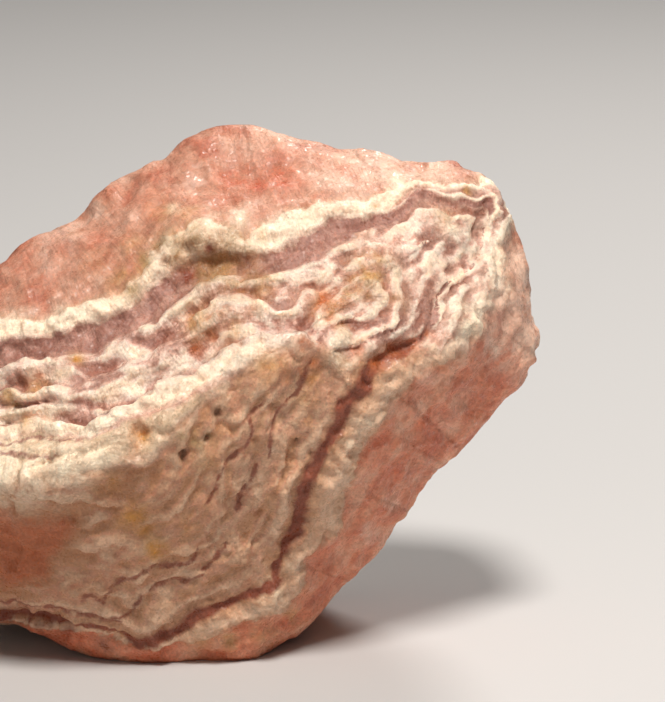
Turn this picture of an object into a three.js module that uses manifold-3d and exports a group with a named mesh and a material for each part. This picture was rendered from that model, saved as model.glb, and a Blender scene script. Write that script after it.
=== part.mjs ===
// Rhodochrosite slice: a thick end piece of a banded vein, broken on its front and sides and sawn flat on its back.
// Units are millimetres, +Z up. The broken front faces -Y and the sawn back faces +Y. The stone rests on a flat
// at Z = 0, and the origin is on that flat.
import * as THREE from "three";
import { ConvexGeometry } from "three/addons/geometries/ConvexGeometry.js";
import { ImprovedNoise } from "three/addons/math/ImprovedNoise.js";
import { mergeVertices } from "three/addons/utils/BufferGeometryUtils.js";
import Module from "manifold-3d";

// Driving dimensions of the whole stone
const BACK_Y = 14; // the sawn face
const REST_Z = 0; // the flat that it stands on
const HEART = new THREE.Vector3(-1, -1, 21); // every surface point is seen from here
const HALF_SIZE = new THREE.Vector3(33, 17, 25); // spreads the facets evenly over a long stone
const FACET_RINGS = 22; // subdivisions of the ball that the facets come from
const LAYER_DIP = 0.25; // the layers rise this much for each millimetre towards the front

// Corners of the broken lump as x, y, z, before its edges are worn round
const RIM = [
  [-17.4, 4, 35.4], [-8, 5, 42.8], [2, 6, 48.4], [5.2, 6, 49.2], [9, 6, 48.2], [26.2, 4, 45], [28.3, 3, 43.5],
  [30.3, 3, 41], [33, 4, 35.5], [34.2, 2, 28], [29.6, 2, 22.2], [22.4, 1, 14.5], [15, 0, 7],
];
const FOOT = [[10.3, -2, 0], [6, -7, -0.8], [-4.2, -8, -0.8], [-8.9, -7, -0.4], [-17.3, -6, 2.8]];
const LEFT_END = [[-26.6, -4, 6.4], [-32.2, -2, 14.1], [-33.2, 0, 19.4], [-26.2, 2, 29]];
const FRONT_RIDGE = [
  [-26.6, -11, 19.2], [-17.3, -15, 19.5], [-12.1, -16.5, 19.4], [-3.3, -17.5, 22.6], [4.7, -17, 29.4],
  [11.2, -16, 32.5], [16.5, -14, 28.7], [22.9, -10, 30.5], [27.6, -6, 30.7],
];
const CREST = [
  [-17.3, -4, 32.1], [-7, -6, 34.7], [-1.9, -4.5, 39.8], [1.9, -4, 41.8], [10.7, -4, 43], [20.1, -1, 44.5],
  [28.5, 0, 44.2],
];
const BACK = [
  [-30, 17, 13], [-25, 17, 21], [-16, 17, 27.5], [-7, 17, 34.5], [2.8, 17, 40], [10.7, 17, 40.5], [24.5, 17, 37],
  [28.3, 17, 32], [29.5, 17, 24.6], [25.5, 17, 18.8], [19.3, 17, 11.1], [13, 17, 4.2], [9.8, 17, -0.6],
  [-9.8, 17, -0.6], [-17.3, 17, 1.4], [-26, 17, 5],
];

// Edges of the mineral layers, as closed rings on a section across the stone: x, then height at y = 0
const PINK_RIND_EDGE = [
  [-17.3, 31.1], [-9.3, 32.6], [-5.6, 34.6], [-1.9, 38.8], [1.4, 40.8], [5.4, 38.6], [10.7, 42], [16.4, 42.7],
  [20.3, 44.5], [28.5, 44.4], [30.6, 40.6], [29.4, 35.8], [28.5, 31.7], [25.2, 27.1], [20.8, 24], [17.1, 19.4],
  [15.1, 13.6], [11.4, 7.8], [10.7, 4], [5.1, 1.9], [-6.1, 0], [-17.3, 1.9], [-26.6, 7.8], [-28.5, 15.5],
  [-27.1, 23.2],
];
const DARK_BAND = [
  [-17.3, 27.9], [-7.9, 29.7], [-3.3, 32.9], [0.5, 35.6], [7.9, 36.5], [13.6, 39.6], [19.6, 41.2],
  [21.5, 43], [28.2, 42.5], [27.4, 37.2], [23.5, 33.3], [22.4, 29.7], [17.1, 25.9], [13.6, 19.2], [11, 13.6],
  [8.4, 7.3], [1.9, 2.8], [-4.2, 0.1], [-12.6, 1.9], [-22, 4.2], [-26.2, 15.5], [-21, 26.6],
];
const CREAM_LEDGE = [
  [-17.3, 20.8], [-9.8, 20.8], [-5.1, 23.2], [0, 25.8], [3.7, 28.4], [11.2, 29.9], [11.5, 26.6], [8.1, 20.3],
  [5.6, 15.5], [3.5, 9.8], [-4.4, 4.7], [-17.3, 4], [-21.5, 6.9], [-22.9, 13.6], [-21, 19.4],
];
const LAYER_RINGS = [PINK_RIND_EDGE, DARK_BAND, CREAM_LEDGE];
const RIND_DEPTH = 10; // the layer number falls by 1 this far outside the outermost ring
const CORE_DEPTH = 8; // and rises by 1 this far inside the innermost
const LAYER_WANDER = { across: 5, layers: 0.12 }; // how the layers waver between the rings

// How proud each layer stands where the stone is broken: layer number, millimetres
const LAYER_RELIEF = [
  [0.7, 0], [1.1, 0.5], [1.6, 0.4], [1.95, -0.5], [2.2, 0.35], [2.45, -0.25], [2.62, 0.3], [2.88, -0.6],
  [3.1, 0.6], [3.6, 0],
];

// The ridge across the front, as x and height: the layers stand in ledges above it and are worn smoother below
const RIDGE_HEIGHT = [[-33, 18], [-12, 18.5], [-3, 22], [4.7, 28], [11, 30.5], [33, 29.5]];
const RIDGE_BLEND = 2; // half the height over which the ledges change at the ridge
const LEDGES_BELOW = 0.4; // how high the ledges are below the ridge, as a share of those above it
const LEDGES_END_Y = 4; // behind this they are as low as below the ridge

// Lumps stand proud and hollows are sunk: where on the surface, across, and how high
const LUMPS = [
  { name: "cream knob", at: [1.5, -5, 40.5], across: 5, high: 1.1 },
  { name: "top hollow", at: [20.5, 4.5, 45.9], across: 13, high: -0.9 },
  { name: "pink scallop", at: [5, 1, 44.5], across: 6, high: -1 },
  { name: "left shoulder notch", at: [-11, 4, 40], across: 6, high: -1 },
  { name: "right knob", at: [33.2, 1, 27.6], across: 4, high: 0.7 },
  { name: "notch above right knob", at: [33.5, 2.5, 31], across: 5, high: -1.2 },
  { name: "lump left of ridge", at: [-6, -17, 22.5], across: 4.5, high: 0.8 },
  { name: "orange valley", at: [-3.6, -17, 24.5], across: 2.6, high: -1 },
  { name: "lump in mid ridge", at: [0.5, -17, 26], across: 4.5, high: 0.6 },
  { name: "recess under left foot", at: [-17, -8, 4], across: 5, high: -1.6 },
  { name: "shelf below ridge", at: [14, -15, 29], across: 3, high: -0.7 },
];

// Rough broken surface: size of the lumps and how high they are, coarse first
const ROUGHNESS = [
  { across: 11, high: 0.7 },
  { across: 4.5, high: 0.35 },
  { across: 2.2, high: 0.16 },
];
const NOISE_SHIFT = 7; // keeps the lumps of one size from lining up with those of the next
const EDGE_WEAR_PASSES = 3;
const EDGE_WEAR = 0.5;

const noise = new ImprovedNoise();

// Distance from a point to a closed ring, positive inside
function depthInside(ring, x, h) {
  let nearest = Infinity;
  let inside = false;
  ring.forEach(([ax, ah], i) => {
    const [bx, bh] = ring[(i + 1) % ring.length];
    const along = ((x - ax) * (bx - ax) + (h - ah) * (bh - ah)) / ((bx - ax) ** 2 + (bh - ah) ** 2);
    const t = THREE.MathUtils.clamp(along, 0, 1);
    nearest = Math.min(nearest, Math.hypot(x - ax - t * (bx - ax), h - ah - t * (bh - ah)));
    if (ah > h !== bh > h && x < ax + ((h - ah) / (bh - ah)) * (bx - ax)) inside = !inside;
  });
  return inside ? nearest : -nearest;
}

// Layer number at a point: under 1 in the pink rind, 2 on the dark band, 3 at the cream ledge, more towards the core
function layerAt(point) {
  const depths = LAYER_RINGS.map((ring) => depthInside(ring, point.x, point.z + LAYER_DIP * point.y));
  const outer = depths.filter((depth) => depth > 0).length;
  if (outer === 0) return Math.max(0, 1 + depths[0] / RIND_DEPTH);
  if (outer === depths.length) return outer + depths[outer - 1] / CORE_DEPTH;
  return outer + depths[outer - 1] / (depths[outer - 1] - depths[outer]);
}

// Straight lines between [x, y] knots
function between(knots, x) {
  const next = knots.findIndex(([at]) => at > x);
  if (next === 0) return knots[0][1];
  if (next < 0) return knots[knots.length - 1][1];
  const [[ax, ay], [bx, by]] = [knots[next - 1], knots[next]];
  return ay + ((x - ax) / (bx - ax)) * (by - ay);
}

// Smooth noise from -1 to 1, whose lumps are about that far across
function noiseOver(point, across, shift = 0) {
  return noise.noise(point.x / across + shift, point.y / across, point.z / across);
}

// How far a surface point stands out of the plain lump, along its normal
function relief(point) {
  const wander = noiseOver(point, LAYER_WANDER.across) * LAYER_WANDER.layers;
  const ledge = between(LAYER_RELIEF, layerAt(point) + wander);
  const aboveRidge = point.z - between(RIDGE_HEIGHT, point.x);
  const onUpperFront =
    THREE.MathUtils.smoothstep(aboveRidge, -RIDGE_BLEND, RIDGE_BLEND) *
    THREE.MathUtils.smoothstep(LEDGES_END_Y - point.y, 0, LEDGES_END_Y);
  let high = ledge * THREE.MathUtils.lerp(LEDGES_BELOW, 1, onUpperFront);
  for (const { at, across, high: most } of LUMPS) {
    const away = point.distanceTo(new THREE.Vector3(...at)) / (across / 2);
    high += most * Math.exp(-away * away);
  }
  ROUGHNESS.forEach(({ across, high: most }, i) => {
    high += most * noiseOver(point, across, i * NOISE_SHIFT);
  });
  return high;
}

// The flat faces of the lump's convex hull, each as a plane seen from the heart
function hullPlanes(corners) {
  const hull = new ConvexGeometry(corners.map((corner) => new THREE.Vector3(...corner)));
  const place = hull.getAttribute("position");
  const planes = [];
  for (let i = 0; i < place.count; i += 3) {
    const [a, b, c] = [0, 1, 2].map((k) => new THREE.Vector3().fromBufferAttribute(place, i + k).sub(HEART));
    planes.push(new THREE.Plane().setFromCoplanarPoints(a, b, c));
  }
  return planes;
}

// The vertices that each vertex shares an edge with
function neighboursOf(geometry) {
  const near = Array.from({ length: geometry.getAttribute("position").count }, () => new Set());
  const corners = geometry.index.array;
  for (let i = 0; i < corners.length; i += 3)
    for (let k = 0; k < 3; k++) {
      near[corners[i + k]].add(corners[i + ((k + 1) % 3)]);
      near[corners[i + ((k + 1) % 3)]].add(corners[i + k]);
    }
  return near;
}

// Wears the sharp edges round: each point moves part of the way to the middle of its neighbours
function wearEdges(geometry) {
  const place = geometry.getAttribute("position");
  const near = neighboursOf(geometry);
  for (let pass = 0; pass < EDGE_WEAR_PASSES; pass++) {
    const points = near.map((_, i) => new THREE.Vector3().fromBufferAttribute(place, i));
    near.forEach((set, i) => {
      const middle = new THREE.Vector3();
      set.forEach((k) => middle.addScaledVector(points[k], 1 / set.size));
      place.setXYZ(i, ...points[i].clone().lerp(middle, EDGE_WEAR).toArray());
    });
  }
}

// The whole broken lump, before the saw: a ball's points are thrown out to the hull, worn and roughened
function brokenLump() {
  const ball = new THREE.IcosahedronGeometry(1, FACET_RINGS);
  ball.deleteAttribute("normal");
  ball.deleteAttribute("uv");
  const geometry = mergeVertices(ball);
  const place = geometry.getAttribute("position");
  const planes = hullPlanes([...RIM, ...FOOT, ...LEFT_END, ...FRONT_RIDGE, ...CREST, ...BACK]);
  const point = new THREE.Vector3();
  for (let i = 0; i < place.count; i++) {
    point.fromBufferAttribute(place, i).multiply(HALF_SIZE);
    const reach = planes.map((plane) => -plane.constant / plane.normal.dot(point)).filter((t) => t > 0);
    point.multiplyScalar(Math.min(...reach)).add(HEART);
    place.setXYZ(i, ...point.toArray());
  }
  wearEdges(geometry);
  geometry.computeVertexNormals();
  const normals = geometry.getAttribute("normal");
  const normal = new THREE.Vector3();
  for (let i = 0; i < place.count; i++) {
    point.fromBufferAttribute(place, i);
    normal.fromBufferAttribute(normals, i);
    place.setXYZ(i, ...point.addScaledVector(normal, relief(point)).toArray());
  }
  geometry.deleteAttribute("normal");
  return geometry;
}

const wasm = await Module();
wasm.setup();

// A geometry as a solid that can be cut
function solidOf(geometry) {
  geometry.deleteAttribute("normal");
  geometry.deleteAttribute("uv");
  const merged = mergeVertices(geometry);
  const vertProperties = merged.getAttribute("position").array;
  return new wasm.Manifold(new wasm.Mesh({ numProp: 3, vertProperties, triVerts: merged.index.array }));
}

// A block that is cut away, given by its lowest and highest corners
function block(low, high) {
  const size = new THREE.Vector3(...high).sub(new THREE.Vector3(...low));
  const box = new THREE.BoxGeometry(...size.toArray());
  box.translate(...new THREE.Vector3(...low).addScaledVector(size, 0.5).toArray());
  return solidOf(box);
}

const REACH = 60; // the blocks reach past the stone on every side
const behindTheSaw = block([-REACH, BACK_Y, -REACH], [REACH, BACK_Y + REACH, REACH]);
const underTheRest = block([-REACH, -REACH, REST_Z - REACH], [REACH, REACH, REST_Z]);

function rhodochrositeSlice() {
  const cut = solidOf(brokenLump()).subtract(behindTheSaw).subtract(underTheRest).getMesh();
  const geometry = new THREE.BufferGeometry();
  geometry.setAttribute("position", new THREE.BufferAttribute(cut.vertProperties, 3));
  geometry.setIndex(new THREE.BufferAttribute(cut.triVerts, 1));
  geometry.computeVertexNormals();
  const stone = new THREE.MeshStandardMaterial({ color: 0xd9a794, roughness: 0.55, metalness: 0 });
  const mesh = new THREE.Mesh(geometry, stone);
  mesh.name = "rhodochrosite_slice";
  return mesh;
}

const model = new THREE.Group();
model.add(rhodochrositeSlice());

export default model;
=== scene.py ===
import itertools
import math
from collections import namedtuple
from types import SimpleNamespace

import bmesh
import bpy
import numpy as np
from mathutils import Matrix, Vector, noise


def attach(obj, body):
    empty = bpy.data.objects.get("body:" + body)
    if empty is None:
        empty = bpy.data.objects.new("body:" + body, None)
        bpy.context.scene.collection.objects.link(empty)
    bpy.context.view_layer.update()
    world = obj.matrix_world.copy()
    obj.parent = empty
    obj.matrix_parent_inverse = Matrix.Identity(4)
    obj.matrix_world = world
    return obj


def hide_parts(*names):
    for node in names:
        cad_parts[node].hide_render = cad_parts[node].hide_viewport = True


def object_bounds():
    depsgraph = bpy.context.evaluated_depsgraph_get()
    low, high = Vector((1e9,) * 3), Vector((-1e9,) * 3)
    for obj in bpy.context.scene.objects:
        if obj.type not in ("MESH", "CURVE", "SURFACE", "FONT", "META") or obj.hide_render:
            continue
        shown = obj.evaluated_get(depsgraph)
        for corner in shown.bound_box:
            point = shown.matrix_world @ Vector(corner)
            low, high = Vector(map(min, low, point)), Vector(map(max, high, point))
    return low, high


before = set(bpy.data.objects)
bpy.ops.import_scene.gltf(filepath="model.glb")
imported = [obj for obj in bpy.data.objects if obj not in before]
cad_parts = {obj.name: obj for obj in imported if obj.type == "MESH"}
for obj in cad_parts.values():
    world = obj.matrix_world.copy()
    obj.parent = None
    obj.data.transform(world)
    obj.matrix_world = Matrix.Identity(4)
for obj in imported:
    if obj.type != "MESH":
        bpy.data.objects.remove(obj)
cad_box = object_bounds()

MM = 0.001
STONE_NODE = "rhodochrosite_slice"

# Where the camera stands, in millimetres and degrees
CAMERA_TARGET = (13.8, 0.0, 28.0)
CAMERA_DISTANCE = 450.0
CAMERA_ELEVATION = 14.0
CAMERA_CLIP_START = 10.0
PICTURE_SIZE = (665, 702)
PIXELS_PER_MM = 10.7
SENSOR_WIDTH = 36.0

# The studio, in millimetres and watts
FLOOR_RADIUS = 3000.0
FLOOR_SEGMENTS = 96
FLOOR_COLOUR = (0.56, 0.56, 0.56)
FLOOR_ROUGHNESS = 0.7
SURROUND_COLOUR = (1.0, 0.95, 0.90)
SURROUND_STRENGTH = 0.08
LAMPS_FACE = (5.0, 0.0, 25.0)
Lamp = namedtuple("Lamp", "name place size power colour")
LAMPS = [
    Lamp("soft key", (40.0, -200.0, 430.0), 110.0, 2.5, (1.0, 0.94, 0.88)),
    Lamp("back light", (120.0, 280.0, 330.0), 120.0, 0.9, (1.0, 0.95, 0.90)),
    Lamp("front fill", (-220.0, -420.0, 160.0), 400.0, 0.2, (1.0, 0.90, 0.80)),
]

# The even mesh of the stone, in millimetres
MERGE_DISTANCE = 0.001
VOXEL = 0.33
WEAR_PASSES = 14
WEAR_STRENGTH = 0.5
FLAT_TOLERANCE = 0.02
SAWN_FACING = 0.99

# The section across the layers: x runs along the stone, and height is taken at y = 0
LAYER_DIP = 0.2495
SECTION_CENTRE = (13.8, 27.97)

# The layers open out for each millimetre towards the front and the top: that direction's y and z
LAYER_SPREAD = 1 / 450
SPREAD_TOWARDS = (-0.97, 0.242)

# Edges of the mineral layers as closed rings on the section, from the outside in
PINK_RIND_EDGE = [
    (-22.9, 29.5), (-17.3, 31.1), (-13.6, 31.2), (-9.3, 32.6), (-7.0, 33.1), (-5.6, 34.6), (-3.3, 36.5),
    (-1.9, 38.8), (1.4, 40.8), (3.7, 40.0), (5.4, 38.6), (7.2, 40.0), (10.7, 42.0), (16.4, 42.7),
    (18.7, 43.9), (20.3, 44.5), (23.8, 43.8), (28.5, 44.4), (30.2, 42.9), (30.6, 40.6), (29.7, 38.2),
    (29.4, 35.8), (30.1, 33.3), (28.5, 31.7), (27.6, 29.5), (25.2, 27.1), (21.5, 25.6), (20.8, 24.0),
    (19.2, 22.8), (18.5, 21.3), (17.1, 19.4), (15.9, 17.0), (15.1, 13.6), (14.7, 10.7), (12.6, 9.0),
    (11.4, 7.8), (11.5, 5.9), (10.7, 4.0), (9.3, 2.8), (5.1, 1.9), (2.3, 0.1), (-1.4, -0.6), (-6.1, 0.0),
    (-8.9, 0.7), (-13.6, 1.2), (-17.3, 1.9), (-22.9, 4.0), (-26.6, 7.8), (-28.5, 15.5), (-27.1, 23.2),
]
DARK_BAND = [
    (-17.3, 27.9), (-14.5, 28.5), (-11.7, 28.8), (-7.9, 29.7), (-5.6, 30.9), (-3.3, 32.9), (-0.9, 34.6),
    (0.5, 35.6), (2.8, 36.5), (5.1, 36.5), (7.9, 36.5), (9.8, 37.1), (11.7, 38.0), (13.6, 39.1),
    (15.0, 39.6), (17.3, 40.4), (19.6, 41.2), (20.8, 42.0), (21.5, 43.0), (23.8, 42.6), (26.6, 42.3),
    (28.2, 42.5), (28.5, 41.5), (27.9, 39.6), (27.4, 37.2), (26.2, 35.8), (24.3, 34.6), (23.5, 33.3),
    (23.1, 31.7), (22.4, 29.7), (20.6, 28.1), (18.7, 26.9), (17.1, 25.9), (16.6, 24.4), (15.2, 22.8),
    (14.3, 20.8), (13.6, 19.2), (12.1, 17.5), (11.3, 15.5), (11.0, 13.6), (10.9, 11.9), (10.3, 10.2),
    (8.9, 8.8), (8.4, 7.3), (8.7, 5.9), (6.5, 4.6), (4.7, 3.8), (1.9, 2.8), (0.0, 1.6), (-1.9, 0.6),
    (-4.2, 0.1), (-6.5, 0.8), (-8.9, 1.6), (-12.6, 1.9), (-17.3, 2.6), (-22.0, 4.2), (-25.2, 8.8),
    (-26.2, 15.5), (-24.8, 23.2), (-21.0, 26.6),
]
CREAM_LEDGE = [
    (-17.3, 20.8), (-13.6, 21.2), (-9.8, 20.8), (-7.9, 21.5), (-5.1, 23.2), (-2.3, 24.3), (0.0, 25.8),
    (1.9, 27.2), (3.7, 28.4), (7.0, 29.3), (11.2, 29.9), (11.9, 28.2), (11.5, 26.6), (10.3, 24.7),
    (9.3, 22.8), (8.1, 20.3), (7.9, 17.9), (6.5, 17.3), (5.6, 15.5), (5.3, 13.6), (4.4, 12.4), (3.5, 9.8),
    (2.1, 7.5), (-2.3, 5.6), (-4.4, 4.7), (-6.5, 2.8), (-11.7, 3.4), (-17.3, 4.0), (-21.5, 6.9),
    (-22.9, 13.6), (-21.0, 19.4),
]
RED_CORE = [
    (-17.3, 13.6), (-14.5, 12.2), (-10.3, 11.7), (-10.3, 10.2), (-12.1, 7.8), (-12.6, 5.9), (-17.3, 5.4),
    (-19.2, 7.8), (-19.6, 11.7),
]
LAYER_RINGS = [PINK_RIND_EDGE, DARK_BAND, CREAM_LEDGE, RED_CORE]
RIND_DEPTH = 10.0
CORE_DEPTH = 8.0
THINNEST_LAYER = 0.5

# How the layers waver: how far apart the bends are and how far they go
LAYER_WANDER = [(4.5, 0.5), (1.8, 0.35), (0.85, 0.2)]
WANDER_SHIFTS = (0.0, 40.0)

# The ridge across the front, as a line on the section, and how softly the front turns there
FRONT_RIDGE = [
    (-33.0, 16.0), (-17.3, 15.7), (-12.1, 15.2), (-8.4, 16.5), (-3.3, 17.9), (1.4, 22.8), (4.7, 25.7),
    (7.9, 28.1), (11.2, 28.5), (15.4, 27.9), (20.1, 28.5), (23.8, 28.5), (27.6, 29.2), (34.0, 28.1),
]
RIDGE_BLEND = 1.2

# Ledges of the broken layers: layer number, then how far the stone stands out there in millimetres
UPPER_LEDGES = [
    (0.0, 0.0), (0.85, 0.0), (1.02, -0.1), (1.2, 0.3), (1.7, 0.4), (2.0, -0.1), (2.12, -0.3), (2.28, 0.35),
    (2.46, -0.25), (2.64, 0.35), (2.96, -0.5), (3.02, 0.5), (3.12, 0.3), (3.2, 0.4), (3.6, 0.0), (5.0, 0.0),
]
LOWER_LEDGES = [(0.0, 0.0), (0.9, 0.0), (1.08, 0.2), (1.8, 0.2), (2.2, 0.1), (5.0, 0.0)]

# The share of the upper ledges that is left along x
LEDGES_FADE = [(-33.0, 1.0), (6.0, 1.0), (15.0, 0.4), (34.0, 0.3)]

# The dark band: half its width along x, above the front ridge and below it
BAND_ABOVE = [
    (-20.0, 0.95), (-4.0, 0.95), (3.0, 0.8), (8.0, 0.9), (11.0, 1.4), (14.5, 1.1), (17.0, 0.6),
    (28.0, 0.35),
]
BAND_BELOW = [
    (-17.0, 0.2), (-6.0, 0.25), (-2.5, 0.6), (1.5, 0.45), (6.0, 0.35), (9.3, 0.42), (11.0, 0.68),
    (13.0, 0.6), (16.0, 0.68), (20.0, 0.55), (24.0, 0.35),
]
BAND_GROOVE = 0.3
BAND_REACH = 3.0

# Places where the dark band nearly ends, as x, height, across and strength on the section
BAND_FADES = [
    (25.5, 42.4, 5.0, 0.4), (28.4, 40.0, 4.0, 0.9), (27.6, 37.5, 4.5, 0.95), (25.8, 35.0, 4.5, 0.95),
    (23.8, 33.0, 4.0, 0.8), (8.9, 8.3, 1.2, 0.6),
]

# Lumps of the broken surface: across, height on the rind and inside it, and a shift to a fresh pattern
BROKEN_LUMPS = [(5.0, 0.3, 0.3, 0.0), (2.2, 0.16, 0.16, 7.0), (1.1, 0.08, 0.1, 14.0)]

# Round lumps with sharp creases, in the cream layer and on the rind: across, height and shift
CREAM_KNOBS = (1.7, 0.26, 60.0)
RIND_LUMPS = (3.2, 0.16, 90.0)
CREASE_STEEPNESS = 4.0

# Cleavage facets: across and height, then how many cells repeat and how far each facet tilts
CLEAVAGE_ON_RIND = [(3.6, 0.1), (1.4, 0.06)]
CLEAVAGE_INSIDE = [(2.6, 0.26), (1.1, 0.12)]
CLEAVAGE_CELLS = 16
CLEAVAGE_TILT = 1.2
RIND_SEED = 1
INSIDE_SEED = 2

# Crinkled fringe of the cream ledge: its middle and half its width as layer numbers, then its lumps
FRINGE_LAYER = 3.06
FRINGE_WIDTH = 0.09
FRINGE_HEIGHT = 0.35
FRINGE_LUMPS = 0.9
FRINGE_SHIFT = 150.0

# Layer numbers where the rind's roughness ends, and where the crusts begin, along x, and end
RIND_ENDS = (1.1, 0.9)
CRUSTS_BEGIN = [(-33.0, 2.05), (17.0, 2.05), (21.5, 1.25), (34.0, 1.25)]
CRUSTS_BLEND = 0.15
CRUSTS_END_ABOVE = (3.0, 2.9)
CRUSTS_END_BELOW = (4.0, 3.8)

# Overlapping crusts inside the dark band: the first one's distance from it, their spacing and their heights
FIRST_CRUST = 0.9
CRUST_SPACING = [(-33.0, 2.7), (4.0, 2.6), (14.0, 2.3), (22.0, 1.8), (34.0, 1.7)]
CRUST_HEIGHT_ABOVE = [(-33.0, 0.36), (8.0, 0.34), (16.0, 0.26), (34.0, 0.22)]
CRUST_HEIGHT_BELOW = 0.2

# A crust's form: the share of its spacing over which it rises to its rim, and the rim's height
CRUST_RISE = 0.32
CRUST_RIM = 0.9

# How crusts waver, fade and get lumpy: size along the strata, strength, and shift
CRUST_WANDER = [((7.0, 7.0, 4.0), 1.0, 0.0), ((3.0, 3.0, 2.0), 0.5, 30.0)]
WANDER_BEGINS = (-1.0, 3.0)
CRUST_FADES = [((5.0, 5.0, 2.5), 1.4, 50.0)]
CRUST_MEAN = 0.65
CRUST_LIMITS = (0.1, 1.2)
CRUST_LUMPS = [((3.4, 3.4, 1.3), 0.7, 80.0), ((1.5, 1.5, 0.9), 0.7, 95.0), ((0.8, 0.8, 0.7), 0.5, 110.0)]
SAWN_LUMPS = 0.35

# How far textures slip sideways for each millimetre into the stone, and fibres for each millimetre along it
STRATA_SLANT = 0.6
FIBRES_SLANT = 0.2
FIBRES_SPREAD = 0.3

# How far from the flats the relief grows to its full height, and the least room it is given, in millimetres
FLATS_BLEND = 0.8
SHALLOWEST_FACING = 0.05
LEAST_ROOM = 0.01

# Larger forms of the broken surface as x, height, across and how far they stand out, on the section
FORMS = [
    (4.7, 44.6, 2.2, -0.4), (6.5, 44.4, 2.2, -0.5), (8.6, 45.0, 2.4, -0.5), (7.2, 42.0, 5.6, 0.3),
    (1.7, 39.4, 3.2, 0.55), (4.0, 40.4, 2.2, 0.45), (-3.9, 20.4, 1.9, -0.7), (-4.6, 18.8, 1.3, -0.5),
    (17.1, 35.2, 4.3, 0.45), (13.2, 32.9, 2.4, -0.6), (26.4, 30.8, 3.2, 0.5), (28.5, 36.5, 2.2, 0.35),
    (16.8, 21.3, 2.1, 0.35), (15.4, 19.2, 1.5, 0.3), (8.1, 4.7, 2.4, 0.4), (33.4, 27.4, 2.8, -0.6),
    (31.6, 25.2, 3.0, 0.8), (-7.0, 21.3, 2.8, 0.4), (-1.4, 20.8, 2.4, 0.35), (-11.7, 16.7, 5.6, 0.4),
    (-15.4, 2.3, 2.1, -0.8), (-12.6, 1.9, 1.9, -0.6), (-10.9, 0.8, 1.3, -0.4), (6.1, 24.2, 3.7, 0.3),
    (22.9, 24.7, 3.7, 0.3), (15.0, 30.0, 2.2, -0.4), (20.1, 39.1, 2.8, 0.3), (25.2, 39.1, 2.4, 0.3),
    (2.2, 48.6, 3.6, 0.5), (24.6, 46.4, 4.5, 0.6), (-2.3, 46.4, 3.0, -0.3), (-7.9, 43.3, 2.6, 0.4),
    (14.5, 47.6, 4.0, -0.3), (3.6, 36.0, 4.0, -0.3), (0.2, 38.4, 1.4, 0.3), (3.2, 38.4, 1.3, 0.3),
    (5.0, 22.0, 3.0, 0.2),
]

# Pits as x, height, across and strength on the section, and how far they move with the fine jitter
PITS = [
    (-1.9, 36.3, 0.9, 1.0), (3.0, 22.3, 0.8, 1.0), (2.1, 19.6, 0.9, 0.9), (0.0, 17.8, 0.9, 1.0),
    (10.5, 19.1, 0.35, 0.8), (8.5, 14.4, 0.3, 0.7), (3.7, 45.2, 0.3, 0.7), (22.9, 22.3, 0.35, 0.7),
]
PIT_DEPTH = 0.8
PIT_JITTER = 0.45

# Sharp edges and grooves: half width and how far they stand out, then a line on the section
CREASES = [
    (0.5, 0.45, [(10.7, 29.2), (12.4, 28.5), (13.6, 27.9), (15.0, 25.9), (16.5, 24.2)]),
    (0.6, -0.6, [(22.9, 29.7), (21.2, 28.7), (19.6, 27.9), (18.2, 26.5), (17.1, 24.8), (16.5, 23.2)]),
    (0.4, 0.4, [(29.3, 39.4), (29.7, 36.5), (30.6, 32.9), (31.3, 30.8), (32.2, 28.5), (32.7, 27.1)]),
    (0.35, 0.3, [(1.9, 45.9), (2.5, 44.4), (3.7, 43.5), (5.6, 43.1), (7.9, 43.5), (9.8, 44.2)]),
    (0.35, -0.5, [(-17.3, 2.7), (-14.5, 2.1), (-11.7, 1.9), (-7.9, 0.6), (-5.1, 0.0), (-3.3, 0.0)]),
    (1.5, 0.9, [(-26.0, 16.8), (-17.3, 15.9), (-14.5, 15.7), (-12.1, 15.4), (-9.4, 16.3)]),
    (1.0, -0.4, [(-26.0, 19.9), (-17.3, 19.4), (-13.6, 19.9), (-9.8, 19.4), (-7.0, 20.4)]),
    (0.4, -0.3, [(-1.5, -0.8), (2.4, -0.2), (5.9, 0.7), (9.0, 1.3), (11.4, 2.9)]),
    (0.4, -0.3, [(-3.0, -1.5), (2.0, -1.6), (6.0, -0.9), (10.0, -0.5)]),
]

# Thin dark seams of the inner layers, as lines on the section
SEAMS = [
    [(11.7, 27.1), (10.7, 25.4), (9.3, 22.8), (8.1, 20.2), (7.9, 17.9)],
    [(6.8, 17.3), (5.9, 15.3), (5.4, 13.6), (4.7, 12.5)],
    [(7.8, 23.4), (5.9, 21.5), (6.3, 20.2), (5.0, 18.4), (3.5, 16.7), (3.1, 15.0), (2.0, 13.1)],
    [(1.0, 9.0), (0.5, 8.2), (-3.3, 6.9), (-6.1, 5.9), (-7.2, 4.7), (-7.9, 4.0)],
    [(1.9, 6.5), (-0.9, 5.9), (-3.3, 5.1)],
    [(3.5, 9.5), (2.8, 8.0), (2.0, 7.1)],
    [(-4.2, 4.7), (-4.6, 3.6), (-5.6, 2.6), (-7.0, 2.3)],
    [(-9.8, 4.2), (-8.7, 4.4), (-7.9, 3.7)],
    [(-17.3, 4.0), (-13.6, 3.4), (-10.3, 3.2), (-7.9, 2.2), (-6.3, 1.9)],
    [(-17.3, 19.3), (-14.5, 19.8), (-12.1, 19.4), (-9.8, 19.4)],
    [(-17.3, 18.4), (-14.0, 18.2), (-11.7, 17.8)],
]
SEAM_REACH = 1.2
SEAM_GROOVE = 0.12
SEAM_HALF_WIDTH = 0.3
SEAM_JITTER = 0.15
JITTER_LUMPS = 0.7
JITTER_SHIFTS = (200.0, 240.0)

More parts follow.
